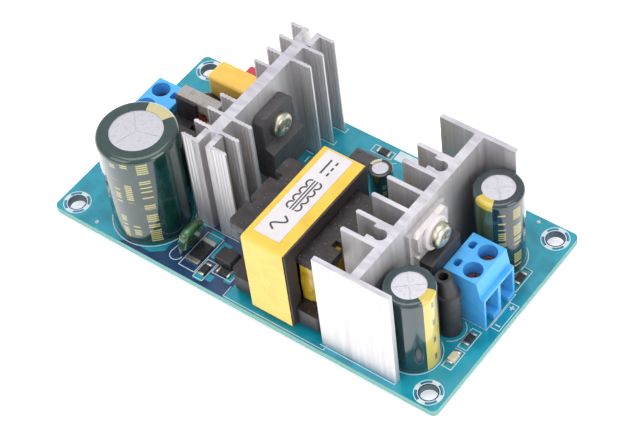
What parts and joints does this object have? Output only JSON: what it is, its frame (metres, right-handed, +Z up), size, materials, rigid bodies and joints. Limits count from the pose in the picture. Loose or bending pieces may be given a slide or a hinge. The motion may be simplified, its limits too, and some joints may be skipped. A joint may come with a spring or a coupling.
{
  "type": "power supply module",
  "caption": "Open-frame switching power supply module: a circuit board with a transformer, finned heatsinks, electrolytic capacitors and screw terminals at its ends.",
  "frame": {"origin": "centre of the four mounting holes on the underside of the circuit board", "axes": "+X along the board from the mains input terminal to the output terminal, +Y towards the board edge with the fuse and the safety capacitor, +Z up out of the component side"},
  "size_m": [0.0962, 0.0514, 0.0295],
  "materials": {
    "heatsink_aluminium": "satin extruded",
    "tinned_steel": "tinned, satin",
    "zinc_plated_steel": "zinc plated, slightly yellow",
    "black_epoxy": "matt moulded",
    "tinned_copper": "tinned, dull",
    "grey_silicone": "matt",
    "white_nylon": "semi-gloss",
    "ferrite": "matt ground",
    "choke_ferrite": "matt, grey beige",
    "black_bobbin": "satin moulded",
    "winding_tape": "glossy polyester tape over copper wire",
    "yellow_tape": "glossy polyester tape",
    "label_film": "matt",
    "can_aluminium": "satin drawn",
    "green_sleeve": "glossy shrunk film",
    "black_sleeve": "glossy shrunk film",
    "blue_polyamide": "satin moulded",
    "orange_box": "satin moulded",
    "red_box": "satin moulded",
    "thermistor_coating": "matt dipped",
    "green_coating": "glossy dipped",
    "copper_winding": "enamelled copper wire",
    "shrink_tube": "matt",
    "chip_black": "satin",
    "led_resin": "translucent",
    "solder": "bright",
    "solder_mask": "glossy solder mask"
  },
  "bodies": {
    "module": {"primary_heatsink": "heatsink_aluminium", "secondary_heatsink": "heatsink_aluminium", "heatsink_pins": "tinned_steel", "heatsink_screws": "zinc_plated_steel", "switching_transistor": "black_epoxy", "transistor_legs": "tinned_copper", "rectifier_tab": "tinned_copper", "rectifier_body": "black_epoxy", "rectifier_legs": "tinned_copper", "rectifier_pad": "grey_silicone", "rectifier_bush": "white_nylon", "transformer_core_upper": "ferrite", "transformer_core_lower": "ferrite", "transformer_bobbin": "black_bobbin", "transformer_winding": "winding_tape", "transformer_pins": "tinned_copper", "transformer_tape": "yellow_tape", "transformer_label": "label_film", "bulk_capacitor_can": "can_aluminium", "bulk_capacitor_sleeve": "green_sleeve", "front_output_capacitor_can": "can_aluminium", "front_output_capacitor_sleeve": "green_sleeve", "back_output_capacitor_can": "can_aluminium", "back_output_capacitor_sleeve": "green_sleeve", "control_capacitor_can": "can_aluminium", "control_capacitor_sleeve": "black_sleeve", "input_terminal_housing": "blue_polyamide", "input_terminal_contacts": "tinned_copper", "output_terminal_housing": "blue_polyamide", "output_terminal_contacts": "tinned_copper", "safety_capacitor": "orange_box", "fuse": "red_box", "inrush_thermistor": "thermistor_coating", "bridge_rectifier": "black_epoxy", "film_capacitor": "green_coating", "optocoupler": "black_epoxy", "filter_choke_core": "choke_ferrite", "filter_choke_windings": "copper_winding", "filter_choke_bobbin": "black_bobbin", "output_choke_core": "ferrite", "output_choke_sleeve": "shrink_tube", "chip_resistors": "chip_black", "indicator_led": "led_resin", "snubber_diode": "black_epoxy", "chip_end_caps": "tinned_copper", "component_leads": "tinned_copper", "solder_joints": "solder", "circuit_board": "solder_mask"},
    "input_screw_1": {"input_clamp_screw_1": "zinc_plated_steel"},
    "input_cage_1": {"input_clamp_1": "tinned_steel"},
    "input_screw_2": {"input_clamp_screw_2": "zinc_plated_steel"},
    "input_cage_2": {"input_clamp_2": "tinned_steel"},
    "output_screw_1": {"output_clamp_screw_1": "zinc_plated_steel"},
    "output_cage_1": {"output_clamp_1": "tinned_steel"},
    "output_screw_2": {"output_clamp_screw_2": "zinc_plated_steel"},
    "output_cage_2": {"output_clamp_2": "tinned_steel"}
  },
  "joints": [
    {"name": "input_screw_1_turn", "type": "hinge", "parent": "module", "child": "input_screw_1", "pos_m": [-0.04053, 0.00359, 0.0104], "axis": [0, 0, -1], "range_deg": [0, 1153]},
    {"name": "input_cage_1_rise", "type": "slide", "parent": "module", "child": "input_cage_1", "axis": [0, 0, 1], "range_m": [0, 0.0016]},
    {"name": "input_screw_2_turn", "type": "hinge", "parent": "module", "child": "input_screw_2", "pos_m": [-0.04053, -0.00149, 0.0104], "axis": [0, 0, -1], "range_deg": [0, 1153]},
    {"name": "input_cage_2_rise", "type": "slide", "parent": "module", "child": "input_cage_2", "axis": [0, 0, 1], "range_m": [0, 0.0016]},
    {"name": "output_screw_1_turn", "type": "hinge", "parent": "module", "child": "output_screw_1", "pos_m": [0.04118, -0.00149, 0.0104], "axis": [0, 0, -1], "range_deg": [0, 1153]},
    {"name": "output_cage_1_rise", "type": "slide", "parent": "module", "child": "output_cage_1", "axis": [0, 0, 1], "range_m": [0, 0.0016]},
    {"name": "output_screw_2_turn", "type": "hinge", "parent": "module", "child": "output_screw_2", "pos_m": [0.04118, 0.00359, 0.0104], "axis": [0, 0, -1], "range_deg": [0, 1153]},
    {"name": "output_cage_2_rise", "type": "slide", "parent": "module", "child": "output_cage_2", "axis": [0, 0, 1], "range_m": [0, 0.0016]}
  ],
  "couplings": [
    {"joint": "input_screw_1_turn", "follows": "input_cage_1_rise", "rad_per_m": 12566},
    {"joint": "input_screw_2_turn", "follows": "input_cage_2_rise", "rad_per_m": 12566},
    {"joint": "output_screw_1_turn", "follows": "output_cage_1_rise", "rad_per_m": 12566},
    {"joint": "output_screw_2_turn", "follows": "output_cage_2_rise", "rad_per_m": 12566}
  ]
}
